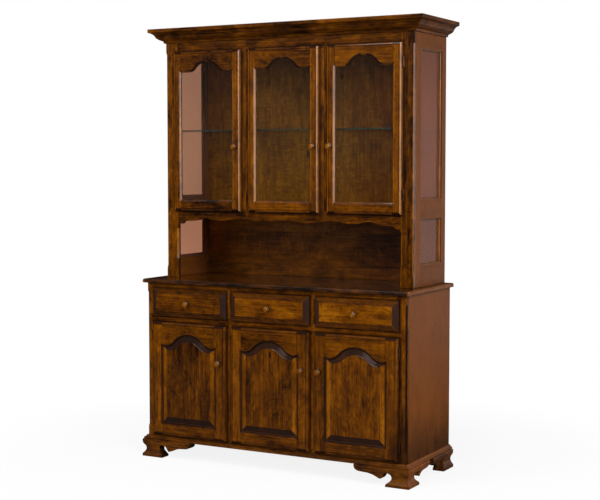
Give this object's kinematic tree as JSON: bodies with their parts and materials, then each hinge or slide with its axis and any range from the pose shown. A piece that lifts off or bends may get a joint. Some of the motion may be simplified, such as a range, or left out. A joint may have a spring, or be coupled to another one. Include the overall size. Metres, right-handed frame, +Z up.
{
  "type": "step back cupboard",
  "caption": "Step back cupboard in stained wood: panelled base with drawers and doors under a worktop, and a set-back glazed hutch with scalloped rail and crown moulding.",
  "frame": {"origin": "on the floor, under the middle of the outside box", "axes": "+X towards the right-hand side as seen from the front, +Y towards the wall behind, +Z up"},
  "size_m": [1.494, 0.5548, 2.134],
  "materials": {
    "case_wood": "satin",
    "front_wood": "satin",
    "worktop_wood": "gloss",
    "inside_wood": "satin",
    "knob_wood": "gloss",
    "clear_glass": "polished",
    "hinge_brass": "aged"
  },
  "bodies": {
    "case": {"base_left_side": "case_wood", "base_right_side": "case_wood", "base_bottom": "inside_wood", "base_back": "inside_wood", "base_shelf": "inside_wood", "base_face_frame": "case_wood", "drawer_deck": "inside_wood", "worktop": "worktop_wood", "base_moulding": "case_wood", "front_left_foot": "case_wood", "front_right_foot": "case_wood", "rear_left_foot": "case_wood", "rear_right_foot": "case_wood", "hutch_left_side": "case_wood", "hutch_right_side": "case_wood", "hutch_left_pane": "clear_glass", "hutch_right_pane": "clear_glass", "hutch_face_frame": "case_wood", "hutch_floor": "inside_wood", "hutch_top": "inside_wood", "hutch_back": "inside_wood", "backsplash": "case_wood", "glass_shelf": "clear_glass", "crown_moulding": "case_wood"},
    "left_drawer": {"left_drawer": "front_wood", "left_drawer_knob": "knob_wood"},
    "middle_drawer": {"middle_drawer": "front_wood", "middle_drawer_knob": "knob_wood"},
    "right_drawer": {"right_drawer": "front_wood", "right_drawer_knob": "knob_wood"},
    "base_left_door": {"base_left_door_frame": "front_wood", "base_left_door_panel": "front_wood", "base_left_door_knob": "knob_wood", "base_left_door_lower_hinge": "hinge_brass", "base_left_door_upper_hinge": "hinge_brass"},
    "base_middle_door": {"base_middle_door_frame": "front_wood", "base_middle_door_panel": "front_wood", "base_middle_door_knob": "knob_wood", "base_middle_door_lower_hinge": "hinge_brass", "base_middle_door_upper_hinge": "hinge_brass"},
    "base_right_door": {"base_right_door_frame": "front_wood", "base_right_door_panel": "front_wood", "base_right_door_knob": "knob_wood", "base_right_door_lower_hinge": "hinge_brass", "base_right_door_upper_hinge": "hinge_brass"},
    "hutch_left_door": {"hutch_left_door_frame": "front_wood", "hutch_left_door_glass": "clear_glass", "hutch_left_door_knob": "knob_wood", "hutch_left_door_lower_hinge": "hinge_brass", "hutch_left_door_upper_hinge": "hinge_brass"},
    "hutch_middle_door": {"hutch_middle_door_frame": "front_wood", "hutch_middle_door_glass": "clear_glass", "hutch_middle_door_knob": "knob_wood", "hutch_middle_door_lower_hinge": "hinge_brass", "hutch_middle_door_upper_hinge": "hinge_brass"},
    "hutch_right_door": {"hutch_right_door_frame": "front_wood", "hutch_right_door_glass": "clear_glass", "hutch_right_door_knob": "knob_wood", "hutch_right_door_lower_hinge": "hinge_brass", "hutch_right_door_upper_hinge": "hinge_brass"}
  },
  "joints": [
    {"name": "left_drawer_slide", "type": "slide", "parent": "case", "child": "left_drawer", "axis": [0, -1, 0], "range_m": [0, 0.33]},
    {"name": "middle_drawer_slide", "type": "slide", "parent": "case", "child": "middle_drawer", "axis": [0, -1, 0], "range_m": [0, 0.33]},
    {"name": "right_drawer_slide", "type": "slide", "parent": "case", "child": "right_drawer", "axis": [0, -1, 0], "range_m": [0, 0.33]},
    {"name": "base_left_door_swing", "type": "hinge", "parent": "case", "child": "base_left_door", "pos_m": [-0.674, -0.2294, 0.399], "axis": [0, 0, -1], "range_deg": [0, 105]},
    {"name": "base_middle_door_swing", "type": "hinge", "parent": "case", "child": "base_middle_door", "pos_m": [-0.217, -0.2294, 0.399], "axis": [0, 0, -1], "range_deg": [0, 105]},
    {"name": "base_right_door_swing", "type": "hinge", "parent": "case", "child": "base_right_door", "pos_m": [0.674, -0.2294, 0.399], "axis": [0, 0, 1], "range_deg": [0, 105]},
    {"name": "hutch_left_door_swing", "type": "hinge", "parent": "case", "child": "hutch_left_door", "pos_m": [-0.627, -0.0964, 1.625], "axis": [0, 0, -1], "range_deg": [0, 105]},
    {"name": "hutch_middle_door_swing", "type": "hinge", "parent": "case", "child": "hutch_middle_door", "pos_m": [-0.196, -0.0964, 1.625], "axis": [0, 0, -1], "range_deg": [0, 105]},
    {"name": "hutch_right_door_swing", "type": "hinge", "parent": "case", "child": "hutch_right_door", "pos_m": [0.627, -0.0964, 1.625], "axis": [0, 0, 1], "range_deg": [0, 105]}
  ]
}
